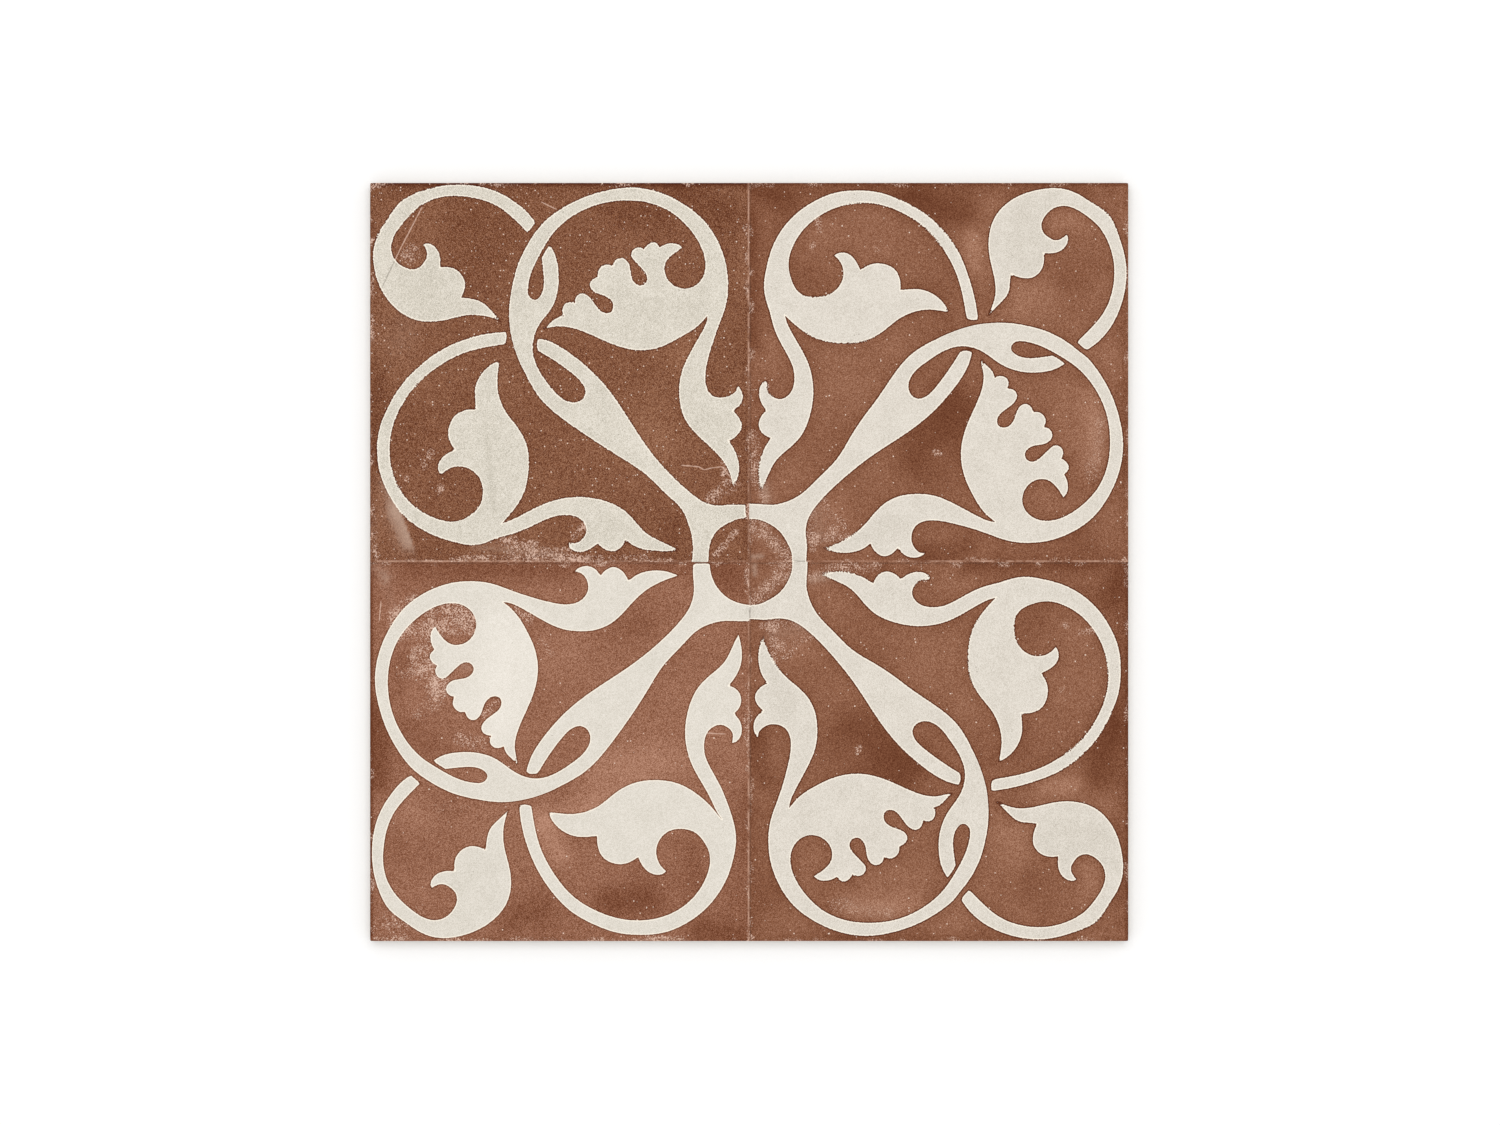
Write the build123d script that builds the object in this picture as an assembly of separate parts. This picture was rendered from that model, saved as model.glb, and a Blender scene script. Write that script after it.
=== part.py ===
"""Square cement-look floor tile: one dry-pressed, fired slab with a keyed back.

The frame has its origin under the middle of the tile, on the plane that the
back ribs stand on. +Z points up, out of the decorated face, and the sides run
along X and Y. All sizes are in millimetres.
"""

import math
import os

from build123d import *

# Outline of the pressed slab
FACE_SIDE = 450.0  # side of the square decorated face
THICKNESS = 10.0  # decorated face down to the crowns of the back ribs
CORNER_RADIUS = 0.8  # upright corners, seen from above
FACE_ARRIS = 0.5  # rounding where the face meets the sides

# Sides: an upright land below the face, then draft that lets the press release the slab
LAND_HEIGHT = 4.5  # face down to where the draft starts
DRAFT_INSET = 1.2  # how far the back stands in from the face, on each side

# Back: square keys pressed into it for the adhesive, with ribs left between them
KEYS_ACROSS = 14  # keys along each side
RIB_CROWN = 4.0  # flat width left on each rib
KEY_DEPTH = 0.9  # rib crown up to the bottom of a key
KEY_DRAFT = 35.0  # lean of a key's walls from upright, in degrees
RIM_WIDTH = 15.8  # plain margin between the back's edge and the outer keys

OUTPUT_FOLDER = "parts"
NODE_NAME = "tile"

# Sizes that follow from those above
BACK_SIDE = FACE_SIDE - 2 * DRAFT_INSET
LAND_BOTTOM = THICKNESS - LAND_HEIGHT
KEY_PITCH = (BACK_SIDE - 2 * RIM_WIDTH + RIB_CROWN) / KEYS_ACROSS
KEY_MOUTH = KEY_PITCH - RIB_CROWN


def plan_square(side: float, height: float) -> Sketch:
    """Square with rounded corners, lying level at the given height."""
    return Pos(0, 0, height) * RectangleRounded(side, side, CORNER_RADIUS)


def pressed_slab() -> Part:
    """Upright land over drafted sides, with the arris of the face rounded."""
    land = extrude(plan_square(FACE_SIDE, LAND_BOTTOM), amount=LAND_HEIGHT)
    drafted = loft([plan_square(BACK_SIDE, 0), plan_square(FACE_SIDE, LAND_BOTTOM)], ruled=True)
    slab = land + drafted
    face = slab.faces().sort_by(Axis.Z)[-1]
    return fillet(face.edges(), FACE_ARRIS)


def back_keys() -> Part:
    """Grid of shallow square keys that narrow upwards from the back."""
    floor_side = KEY_MOUTH - 2 * KEY_DEPTH * math.tan(math.radians(KEY_DRAFT))
    mouth = Rectangle(KEY_MOUTH, KEY_MOUTH)
    floor = Pos(0, 0, KEY_DEPTH) * Rectangle(floor_side, floor_side)
    key = loft([mouth, floor], ruled=True)
    places = GridLocations(KEY_PITCH, KEY_PITCH, KEYS_ACROSS, KEYS_ACROSS)
    return Part() + [place * key for place in places]


def build_tile() -> Part:
    """The finished tile: the slab with the keys pressed into its back."""
    return pressed_slab() - back_keys()


if __name__ == "__main__":
    os.makedirs(OUTPUT_FOLDER, exist_ok=True)
    tile = build_tile()
    export_step(tile, os.path.join(OUTPUT_FOLDER, NODE_NAME + ".step"))
    print(f"{NODE_NAME}: keys {KEY_PITCH:.2f} mm apart, volume {tile.volume:.0f} mm3")
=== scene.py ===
"""Square cement-look floor tile: a matt printed face over a fired, keyed body.

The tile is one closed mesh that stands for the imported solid. The four quarters
of its face carry one scroll ornament, each a quarter turn on from the last,
printed from three worn originals: the two right-hand quarters share one.
Sizes are in millimetres, and meshes are written in metres.
"""

import logging
import math
from dataclasses import dataclass, field
from enum import Enum

import bpy
import numpy as np
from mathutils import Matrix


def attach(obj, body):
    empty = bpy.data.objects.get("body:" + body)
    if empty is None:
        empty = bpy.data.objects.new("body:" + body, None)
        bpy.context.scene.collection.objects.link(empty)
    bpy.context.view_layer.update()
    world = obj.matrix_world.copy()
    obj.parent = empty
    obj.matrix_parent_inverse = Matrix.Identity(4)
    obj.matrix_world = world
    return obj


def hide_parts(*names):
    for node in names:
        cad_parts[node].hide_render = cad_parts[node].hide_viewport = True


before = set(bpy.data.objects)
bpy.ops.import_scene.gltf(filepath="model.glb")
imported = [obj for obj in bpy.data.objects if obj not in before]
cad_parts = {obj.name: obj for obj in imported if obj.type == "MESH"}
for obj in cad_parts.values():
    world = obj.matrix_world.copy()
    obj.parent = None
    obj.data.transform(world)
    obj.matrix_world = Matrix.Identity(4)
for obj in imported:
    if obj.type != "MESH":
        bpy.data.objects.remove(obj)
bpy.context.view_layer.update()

LOG = logging.getLogger("cement_tile")
MM = 0.001

Point = tuple[float, float]
Run = tuple[Point, ...]
Colour = tuple[float, float, float, float]
Socket = bpy.types.NodeSocket

CUT_FADE = 1.0  # width over which a cut mark ends


def paint(red: float, green: float, blue: float) -> Colour:
    """Turn a colour as seen, 0 to 255, into linear light by the sRGB formula.

    Args:
        red: Red as seen.
        green: Green as seen.
        blue: Blue as seen.

    Returns:
        Linear red, green, blue and an alpha of 1.
    """
    seen = np.array([red, green, blue]) / 255.0
    linear = np.where(seen <= 0.04045, seen / 12.92, ((seen + 0.055) / 1.055) ** 2.4)
    return (*linear.tolist(), 1.0)


def grey(level: float) -> Colour:
    """Even grey of one linear level."""
    return (level, level, level, 1.0)


class Scan(Enum):
    """The three worn originals that the face is printed from."""

    RIGHT = 0
    UPPER_LEFT = 1
    LOWER_LEFT = 2


class Quarter(Enum):
    """A quarter of the face: its side in X, its side in Y and its original."""

    TOP_RIGHT = (1, 1, Scan.RIGHT)
    BOTTOM_RIGHT = (1, -1, Scan.RIGHT)
    BOTTOM_LEFT = (-1, -1, Scan.LOWER_LEFT)
    TOP_LEFT = (-1, 1, Scan.UPPER_LEFT)


@dataclass(frozen=True)
class Outline:
    """Closed outline of smooth runs that meet at corners.

    Each run starts at a corner, passes through its other points and ends where
    the next run starts. Points are measured from the middle of the tile, with
    the ornament turned to the top right quarter.
    """

    runs: tuple[Run, ...]
    step: float = 1.1  # spacing of the traced points
    limit: float = 12.0  # largest depth that is kept
    batch: int = 1500  # points measured at a time

    def _smooth(self, knots: np.ndarray) -> np.ndarray:
        """Cubic spline through the knots, with its parameter along the chords.

        The second derivatives come from the usual banded system, and each end
        repeats its neighbour's, so that an arc stays round up to its corner.

        Args:
            knots: Points of the run, corners included, of shape (n, 2).

        Returns:
            Points along the run, without its last one.
        """
        gaps = np.hypot(*np.diff(knots, axis=0).T)
        along = np.concatenate(([0.0], np.cumsum(gaps)))
        count = len(knots)
        system, pull = np.eye(count), np.zeros((count, 2))
        if count > 2:
            inner = np.arange(1, count - 1)
            system[0, 1] = system[-1, -2] = -1.0
            system[inner, inner - 1] = gaps[:-1]
            system[inner, inner] = 2.0 * (gaps[:-1] + gaps[1:])
            system[inner, inner + 1] = gaps[1:]
            pull[1:-1] = 6.0 * np.diff(np.diff(knots, axis=0) / gaps[:, None], axis=0)
        bend = np.linalg.solve(system, pull)
        steps = int(np.ceil(along[-1] / self.step))
        place = np.linspace(0.0, along[-1], steps + 1)[:-1]
        span = np.clip(np.searchsorted(along, place, side="right") - 1, 0, count - 2)
        width = gaps[span][:, None]
        before = (along[span + 1] - place)[:, None] / width
        after = 1.0 - before
        curve = (before ** 3 - before) * bend[span] + (after ** 3 - after) * bend[span + 1]
        return before * knots[span] + after * knots[span + 1] + curve * width ** 2 / 6.0

    def trace(self) -> np.ndarray:
        """Points round the whole outline, in order."""
        following = self.runs[1:] + self.runs[:1]
        return np.concatenate([self._smooth(np.array(run + after[:1], float))
                               for run, after in zip(self.runs, following)])

    def depth(self, points: np.ndarray) -> np.ndarray:
        """Depth of each point inside the outline, negative outside it.

        The size is the distance to the nearest straight piece of the traced
        line, and the sign comes from counting the pieces to one side.

        Args:
            points: Places to measure, of shape (n, 2).

        Returns:
            Depths in millimetres, kept within the limit.
        """
        line = self.trace()
        result = np.full(len(points), -self.limit)
        near = ((points > line.min(0) - self.limit) & (points < line.max(0) + self.limit)).all(1)
        chosen = np.flatnonzero(near)
        ends = np.roll(line, -1, axis=0)
        span = ends - line
        rise = np.where(span[:, 1] == 0.0, 1.0, span[:, 1])
        for part in np.array_split(chosen, len(chosen) // self.batch + 1):
            off = points[part][:, None] - line
            share = np.clip((off * span).sum(2) / (span ** 2).sum(1), 0.0, 1.0)
            gap = off - share[..., None] * span
            size = np.sqrt((gap ** 2).sum(2).min(1))
            level = points[part][:, None, 1]
            crossed = (line[:, 1] > level) != (ends[:, 1] > level)
            beside = off[..., 0] < off[..., 1] * span[:, 0] / rise
            inside = (crossed & beside).sum(1) % 2 == 1
            result[part] = np.where(inside, size, -size)
        return np.clip(result, -self.limit, self.limit)


STEM_AND_TIE = Outline((
    ((-3, 25.6), (0, 25.4), (6.2, 24.2), (11.9, 21.7), (17, 17.4), (20.9, 11.6), (22.8, 5.8)),
    ((23.4, 0.8),),
    ((33.2, 0.9), (33.4, 8), (32.9, 16), (35, 25.8), (41.5, 35.5), (52.5, 46.8), (70, 61),
     (91, 75), (108, 88.1), (121.5, 103), (129, 114.5)),
    ((132.4, 124.7), (128.7, 125.9)),
    ((125.2, 125.2), (118.5, 114.4), (111, 104.4), (105, 98.8), (100.5, 97.4), (96, 99.8),
     (94.4, 105.2), (98, 112.9), (106, 119.7), (116, 125.8), (127, 128.4), (138.5, 124.9),
     (150, 117), (160, 113.4), (172, 112.8), (181, 114.4)),
    ((187.8, 118.1), (184.2, 120.5)),
    ((180.3, 122.9), (172, 122), (164, 121.8), (158, 123.6), (155.4, 126.5), (156, 131),
     (154, 138)),
    ((148, 142.5), (138, 141.8), (125, 138.7), (110, 132.1), (97, 124.2), (85, 111.8),
     (75, 98.5), (59.5, 75), (51, 61.7), (40, 49.8), (30, 40.2), (22, 36.5), (15, 35.1),
     (7, 35.2), (0, 35.1)),
    ((-3, 35.1),),
))
BAND_AND_SPRIG = Outline((
    ((112, 133.2), (125, 138.7), (137, 141.7), (150, 142.5), (162, 140.9), (176, 137.3),
     (190, 130.2), (200, 122.7), (208.5, 112), (215, 100), (220, 85.3), (222.2, 70),
     (220, 54.5), (213, 38.3), (204, 26.4), (192, 17.9), (180, 13.1), (167, 11.3), (153, 12.7),
     (140, 17.2), (127, 21.4), (115, 24.4), (106, 24.9), (99, 21.9), (95.7, 16), (97, 9.7),
     (101, 6.2)),
    ((104.6, 6.6), (100.5, 3.1), (96, 2.3), (91.3, 4.2)),
    ((88.4, 8.3), (85.5, 5), (80.5, 2.9), (75.5, 5.2)),
    ((71.7, 11.4), (66, 7.2), (57, 5), (48.5, 5.7)),
    ((41.9, 8.2), (51, 11.3), (61, 16.7), (70, 25), (79, 34.3), (89, 39.8), (100, 41.2),
     (111, 39.8), (123, 34.4), (136, 27.1), (146, 24), (152, 26)),
    ((158.5, 41),),
    ((163.7, 42.8), (162, 36.5), (164.5, 30), (170, 25.8), (177, 24.5), (187, 27), (198, 34.2),
     (206.5, 43.5), (212, 55), (214.4, 71), (212.5, 86.5), (206, 102), (195, 115.4),
     (184, 122.8), (172, 128.9), (162.5, 131.1), (157.2, 130.2), (155.4, 126.5), (157, 124.3)),
    ((159, 123), (152, 121), (140, 128), (125, 131.5)),
))
TOOTHED_LEAF = Outline((
    ((152, 19.5), (145.4, 24.1), (138.7, 30.2), (132.5, 39.7), (127.7, 50), (125.3, 63),
     (127, 75), (132.7, 89.5), (137.8, 102), (139, 111), (138.3, 115)),
    ((137.2, 121), (140.5, 117.2), (143.8, 114)),
    ((145.7, 109.4), (150, 110.5), (153.5, 108.3), (154, 105.4)),
    ((153, 102.8), (157.5, 101.8), (159.1, 99), (157, 94.3), (150.5, 89.2), (147.3, 85),
     (147.8, 81.2), (151, 79.8), (155.5, 82), (158, 87), (160.5, 92.3), (164, 94),
     (167.3, 92.2)),
    ((168.5, 88.8), (172.3, 88.9), (175.9, 85)),
    ((174.8, 80), (178.6, 78.6), (180.1, 75.5), (177.5, 71.1), (171, 69.3), (165.5, 67.2),
     (163.6, 63.7), (165.2, 60.5), (168.5, 59.6), (173, 62.2), (178, 67), (182, 69.4),
     (185.7, 67.3), (186.4, 63.8)),
    ((185.1, 61.5), (188.4, 59.3), (189.8, 56), (188.6, 53.5)),
    ((186.7, 52.3), (189.2, 46), (188.6, 41)),
    ((186.3, 38.1), (182.5, 44.2), (177, 48.6), (171, 48.8), (165.8, 45.8), (162.6, 40.5),
     (162, 36.5)),
    ((164.5, 30),),
))
STRAP_AND_SPRIG = Outline((
    ((136.5, 144.4), (136.1, 150), (134.4, 159.8), (131, 171), (125, 184.2), (116.5, 196.7),
     (105, 208), (92, 215.3), (78, 220.2), (64, 221.4), (51, 220.1), (38, 214.9),
     (27.5, 207.5), (18.5, 197.3), (12, 185), (9, 174.5), (7.7, 165), (9, 155), (12.3, 144.5),
     (17, 133), (22.8, 122.4), (26, 115), (26.7, 108.5), (25, 101.7), (21.5, 98),
     (17.3, 96.7), (12.8, 98.3), (9.9, 102), (10, 105.5)),
    ((10.4, 107.7), (6.5, 105.8), (4.3, 100.5), (5.2, 95)),
    ((9.1, 90), (5.7, 86.3), (4.6, 82), (6.2, 77)),
    ((12.2, 73.4), (8, 68), (4.8, 60.5), (4.4, 52)),
    ((6.6, 42.5), (10.1, 50.5), (15.5, 60.1), (23, 66.9), (31, 75.3), (35.8, 86), (38, 97.5),
     (37.4, 109.5), (33.8, 121), (27.3, 132.7), (22.2, 142.3), (18.8, 149.2)),
    ((16, 153),),
    ((26, 167.3), (23.6, 173.5), (23.5, 179.5), (26, 187.9), (31.5, 197), (40, 204.9),
     (51, 210.3), (64, 212.6), (78, 211.3), (92, 206.3), (105, 197.8), (116, 184.5),
     (123.6, 170), (127, 158), (128.6, 149)),
    ((129.3, 144.8), (132, 144)),
))
PLAIN_LEAF = Outline((
    ((13, 156), (18.6, 149.8), (23, 144.6), (31, 137.6), (42, 131.5), (55, 129.3), (68, 131),
     (79, 136.6), (89, 144.4), (97, 148.1), (106, 149.5), (114, 148.9)),
    ((119.3, 148.4), (117, 153.5), (110, 160.2), (102, 163.1), (96, 163.2)),
    ((90.2, 162.6), (89.9, 169), (86.5, 175.7), (80.5, 178.9), (75, 179.4), (70, 177.8)),
    ((66, 175.1), (63.7, 179.8), (59, 184.5), (54, 185.8)),
    ((48.8, 183.7), (53, 179.3), (55.1, 172.5), (53, 164.8), (47.5, 159.8), (40.5, 158.5),
     (33, 160.2), (27, 166), (23.6, 173.5)),
    ((23.5, 179.5), (15, 175)),
))
CORNER_SCROLL = Outline((
    ((200.9, 126.5), (206, 130.2), (213, 138.2), (219.3, 148.8), (223, 161), (224, 173),
     (222.9, 184.5), (219, 197.3), (214, 206), (204.5, 213.7), (195, 219.9), (184, 223.2),
     (173, 222.4), (161, 218.4), (150, 210.8), (143.7, 202), (141.2, 190.5), (142.8, 179),
     (145.6, 167), (145.5, 156.5)),
    ((142.6, 147), (149, 153), (154, 158.7), (155.9, 165.5)),
    ((156.4, 171), (160.5, 169.1), (165.5, 168.6), (171, 171.1), (174.6, 176.5),
     (175.1, 180)),
    ((174.6, 183.6), (179.5, 183.3), (185, 184.9), (188.6, 188.8), (189.2, 191.8)),
    ((188.5, 193.7), (185.5, 191.9), (182.5, 191.2), (178, 192.9), (174.3, 196.7),
     (173.5, 200.5), (175.3, 205.6), (179.5, 210.2), (186, 212.5), (193, 211), (201, 205.8),
     (208.5, 198.8), (214, 190.5), (216.8, 181.5), (217, 171), (214.7, 158), (209.5, 147),
     (203, 139.2)),
    ((195.1, 131.3),),
))

# Shapes that come close to each other are kept in different layers of the print
PRINT_LAYERS = {
    "stem_print": (STEM_AND_TIE, CORNER_SCROLL),
    "band_print": (BAND_AND_SPRIG, PLAIN_LEAF),
    "leaf_print": (TOOTHED_LEAF, STRAP_AND_SPRIG),
}


@dataclass(frozen=True)
class Pull:
    """Place where the print is drawn out of true: a soft shift and thinning."""

    x: float
    y: float
    reach: float
    shift: Point = (0.0, 0.0)
    thin: float = 0.0

    def weight(self, points: np.ndarray) -> np.ndarray:
        """Share of the pull at each point: a bell that falls with distance."""
        return np.exp(-((points - (self.x, self.y)) ** 2).sum(1) / self.reach ** 2)


@dataclass(frozen=True)
class Smear:
    """Soft mark along a straight stroke, with a bell-shaped section.

    A cut mark keeps only the side to the left of its stroke.
    """

    start: Point
    end: Point
    width: float
    strength: float
    cut: bool = False

    def side(self, points: np.ndarray) -> np.ndarray:
        """Distance of each point from the stroke's line.

        Args:
            points: Places to measure, of shape (n, 2).

        Returns:
            Millimetres, above nought to the left of the stroke.
        """
        across, along = np.subtract(self.end, self.start)
        off = points - self.start
        return (off[:, 1] * across - off[:, 0] * along) / math.hypot(across, along)

    def amount(self, points: np.ndarray) -> np.ndarray:
        """Strength of the mark at each point.

        Args:
            points: Places to measure, of shape (n, 2).

        Returns:
            The strength times a bell of the distance from the stroke.
        """
        span = np.subtract(self.end, self.start)
        off = points - self.start
        share = np.clip(off @ span / (span @ span), 0.0, 1.0)
        gap = off - share[:, None] * span
        bell = self.strength * np.exp(-(gap ** 2).sum(1) / self.width ** 2)
        return bell * np.clip(self.side(points) / CUT_FADE + 0.5, 0.0, 1.0) if self.cut else bell


def each(kind: type, *rows: tuple) -> tuple:
    """One mark of the kind for each row of its fields."""
    return tuple(kind(*row) for row in rows)


@dataclass(frozen=True)
class WornOriginal:
    """How one worn original differs from the plain ornament."""

    pulls: tuple[Pull, ...] = ()
    chalk: tuple[Smear, ...] = ()
    clouds: tuple[Smear, ...] = ()
    frays: tuple[Smear, ...] = ()
    stains: tuple[Smear, ...] = ()
    hazes: tuple[Smear, ...] = ()
    scratches: tuple[Run, ...] = ()
    scratch_reach: float = 2.5

    def depths(self, points: np.ndarray) -> dict[str, np.ndarray]:
        """Depth of each point inside each layer of the pulled print.

        Args:
            points: Places to measure, of shape (n, 2).

        Returns:
            One array for each print layer.
        """
        true, thin = points.copy(), np.zeros(len(points))
        for pull in self.pulls:
            share = pull.weight(points)
            true -= share[:, None] * pull.shift
            thin += share * pull.thin
        return {layer: np.max([shape.depth(true) for shape in shapes], axis=0) - thin
                for layer, shapes in PRINT_LAYERS.items()}

    @staticmethod
    def _sum(marks: tuple[Smear, ...], points: np.ndarray) -> np.ndarray:
        """Marks added up at each point."""
        return np.sum([np.zeros(len(points)), *(m.amount(points) for m in marks)], axis=0)

    def marks(self, points: np.ndarray) -> dict[str, np.ndarray]:
        """Wear at each point.

        Args:
            points: Places to measure, of shape (n, 2).

        Returns:
            Amounts of chalk, cloud, fray, stain and haze, the distance to either side of
            the nearest scratch and how far that scratch holds.
        """
        side, held = np.zeros(len(points)), np.zeros(len(points))
        for line in self.scratches:
            for start, end in zip(line, line[1:]):
                stroke = Smear(start, end, self.scratch_reach, 1.0)
                amount = stroke.amount(points)
                side = np.where(amount > held, stroke.side(points), side)
                held = np.maximum(held, amount)
        return {"chalk": np.clip(self._sum(self.chalk, points), 0.0, 1.0),
                "cloud": self._sum(self.clouds, points),
                "fray": np.clip(self._sum(self.frays, points), 0.0, 1.0),
                "stain": self._sum(self.stains, points),
                "haze": np.clip(self._sum(self.hazes, points), 0.0, 1.0),
                "scratch": side, "scored": held}


RIGHT_WEAR = WornOriginal(
    pulls=each(
        Pull,
        (40, 212, 28, (0.3, -0.8)), (96, 204, 30, (-0.5, -0.6), 0.6), (72, 212, 26, (0.1, 0.35), 0.55),
        (131, 165, 22, (-0.8, 0), 0.4), (10, 172, 26, (0.6, 0), 0.5), (75, 174, 22, (0, -1.7)),
        (48, 176, 12, (0.9, -0.8), 0.3), (106, 157, 15, (-0.5, -0.5), 0.35), (182, 220, 24, (0, -1.3)),
        (201, 213, 13, (-0.3, -0.4)), (219, 190, 14, (-1.1, -0.4)), (212, 138, 12, (0.3, -0.3), -0.3),
        (6, 52, 12, (0.9, 0.8)), (5, 66, 10, (1.9, 0.6)), (5, 94, 14, (1.7, 0)), (46, 8, 12, (2.8, 0)),
        (88, 3, 14, (0, 0.6)), (66, 19, 14, (0.4, -0.7)), (95, 16, 7, (0.8, 0)),
        (92, 39, 15, (0, -0.6)), (115, 36, 16, (-0.2, -0.6)), (18, 150, 7, (2.6, -3.4)),
        (19.5, 149, 4, (0, 0), -0.9), (30, 161, 9, (-1.2, -1.4)), (52, 130, 12, (0, 0.6)),
        (40, 158, 10, (0, -0.6)), (168, 121, 10, (0, -0.6)), (52, 185, 6, (0, -0.7)),
        (9, 103, 6, (0, 0), 0.2), (52, 60, 22, (0.5, -0.5), 0.1), (80, 96, 20, (0.8, -0.8), 0.5),
        (17, 17, 11, (0.9, 0.9)), (24, 3, 8, (2.1, 0.2)), (12, 36, 13, (0, -1.2)), (6, 24, 6, (0, 1)),
        (34, 4, 5, (-0.8, 0)), (58, 5, 11, (0, 0.6)), (103, 6, 5, (0.4, -0.9)),
        (108, 149, 10, (0, 0.6)), (130, 50, 22, (0.4, 0)), (60, 62, 28, (0, 0), 0.25),
        (148, 160, 12, (0.15, 0), 0.4), (143, 148, 8, (-0.6, -0.7), -0.2),
        (188.5, 194, 4, (0, 1), -0.2), (172, 170, 8, (0, -0.7)), (155, 168, 6, (-0.8, -0.4)),
        (30.5, 0, 5, (0, -2.6)), (143, 194, 16, (0.9, 0)), (217, 182, 14, (0, 0), -0.4),
        (198, 129, 6, (-0.6, -0.6)), (122, 138, 22, (0, -0.5)), (200, 118, 25, (-0.3, -0.3)),
        (108, 119, 10, (0, 0), -0.3), (214, 72, 18, (-0.3, 0)),
    ),
    chalk=each(
        Smear,
        ((9, 44), (9, 36), 5, 0.3), ((44, 38), (50, 18), 4.5, 0.27), ((36, 14), (60, 13), 3, 0.35),
        ((54, 24), (57, 18), 4, 0.3), ((6, 20), (20, 6), 6, 0.42), ((4, 75), (5, 50), 4, 0.3),
        ((37, 30), (38, 8), 3, 0.4), ((40, 206), (42, 197), 2.5, 0.45), ((38, 189), (38, 187), 2, 0.5),
        ((75, 186), (76, 185), 1.6, 0.6), ((110, 65), (113, 64.5), 1.6, 0.9),
        ((205, 50), (209, 84), 5, 0.26), ((190, 46), (200, 56), 6, 0.14), ((110, 20), (150, 8), 6, 0.1),
    ),
    clouds=each(
        Smear,
        ((98, 215), (126, 207), 11, -1.15), ((100, 66), (122, 92), 14, -1.05),
        ((102, 54), (118, 48), 10, -0.3), ((131, 192), (134, 176), 8, 0.6),
        ((4, 222), (20, 214), 10, -0.9), ((2, 130), (2, 205), 6, -0.7), ((105, 3), (128, 8), 8, -0.6),
        ((150, 2), (215, 4), 7, -0.35), ((196, 14), (186, 20), 8, -0.3),
        ((190, 168), (206, 174), 10, -0.3), ((160, 158), (176, 160), 10, 0.3),
        ((186, 202), (196, 204), 8, 0.4), ((205, 100), (206, 62), 8, 0.7),
        ((182, 106), (190, 98), 12, 0.2), ((30, 172), (46, 166), 9, -0.2),
        ((222, 20), (222, 140), 4, -0.3), ((4, 80), (8, 55), 5, -0.3), ((205, 218), (222, 205), 8, 0.2),
        ((10, 220), (215, 220), 5, -0.35), ((0, 225.3), (225, 225.3), 1.5, -1.2),
    ),
    stains=each(
        Smear,
        ((160, 185), (170, 205), 18, -0.12), ((60, 14), (85, 22), 10, -0.1),
    ),
    frays=each(
        Smear,
        ((60, 212), (112, 190), 5, 0.9), ((35, 136), (72, 131), 5, 0.7), ((36, 159), (46, 159), 4, 0.6),
        ((92, 215), (122, 188), 4, 0.4), ((43, 8), (60, 16), 5, 0.7), ((4, 70), (7, 45), 5, 0.6),
        ((205, 214), (218, 200), 4, 0.4), ((12, 100), (10, 106), 3, 0.7),
    ),
    hazes=each(
        Smear,
        ((9, 45), (10, 37), 4, 0.5), ((38, 34), (44, 14), 6, 0.35), ((6, 20), (20, 6), 7, 0.2),
        ((2, 3), (7, 3.4), 2.2, 0.6), ((205, 60), (208, 84), 5, 0.25),
    ),
    scratches=(
        ((24, 0.6), (27.8, 0.7)), ((31, 0.4), (33.6, 0.4)),
    ),
)
LOWER_LEFT_WEAR = WornOriginal(
    chalk=each(
        Smear,
        ((184, 73), (190, 66), 6, 0.85), ((167, 34), (182, 30), 10, 0.64),
        ((186, 40), (206, 42), 6, 0.4), ((204, 30), (209, 42), 5, 0.55), ((192, 52), (199, 54), 4, 0.5),
        ((196, 62), (206, 66), 7, 0.25), ((184, 82), (196, 90), 8, 0.24),
        ((160, 108), (172, 105), 6, 0.35), ((200, 212), (216, 214), 12, 0.27),
        ((212, 32), (199, 21), 5, 0.3), ((124, 45), (118, 54), 5, 0.22),
        ((139, 27), (131, 34), 4, 0.36), ((150, 84), (157, 90), 4, 0.35),
        ((40, 224), (60, 224), 2, 0.6), ((8, 50), (12, 64), 6, 0.2), ((166, 145), (186, 146), 6, 0.2),
    ),
    clouds=each(
        Smear,
        ((60, 201), (84, 202), 10, -0.95), ((124, 206), (138, 210), 12, -0.75),
        ((30, 190), (36, 168), 9, -0.35), ((3, 140), (5, 215), 9, -0.25),
        ((8, 222), (30, 218), 8, -0.7), ((55, 118), (82, 128), 20, 0.65),
        ((92, 146), (122, 151), 7, 0.75), ((113, 174), (121, 158), 7, 0.75), ((2, 8), (60, 2), 8, -0.4),
        ((108, 6), (200, 4), 7, -0.6), ((221, 85), (220, 130), 7, -0.85),
        ((206, 58), (210, 78), 6, -0.35), ((195, 108), (205, 96), 8, -0.2),
        ((10, 14), (16, 8), 8, -0.35), ((176, 145), (186, 142), 8, -0.2),
        ((192, 152), (198, 150), 8, 0.3), ((52, 28), (62, 36), 10, -0.3),
        ((225.3, 2), (225.3, 222), 1.5, -1.8),
    ),
    stains=each(
        Smear,
        ((142, 50), (150, 85), 22, 0.25), ((160, 185), (175, 205), 18, -0.1),
    ),
    hazes=each(
        Smear,
        ((222, 3), (215, 8), 5, 0.35), ((217, 10), (211, 28), 4, 0.25), ((166, 63), (170, 62), 3, 0.4),
    ),
    scratches=(
        ((218.7, 25), (219.4, 33)), ((16, 102), (24, 101.6)),
    ),
)
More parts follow.
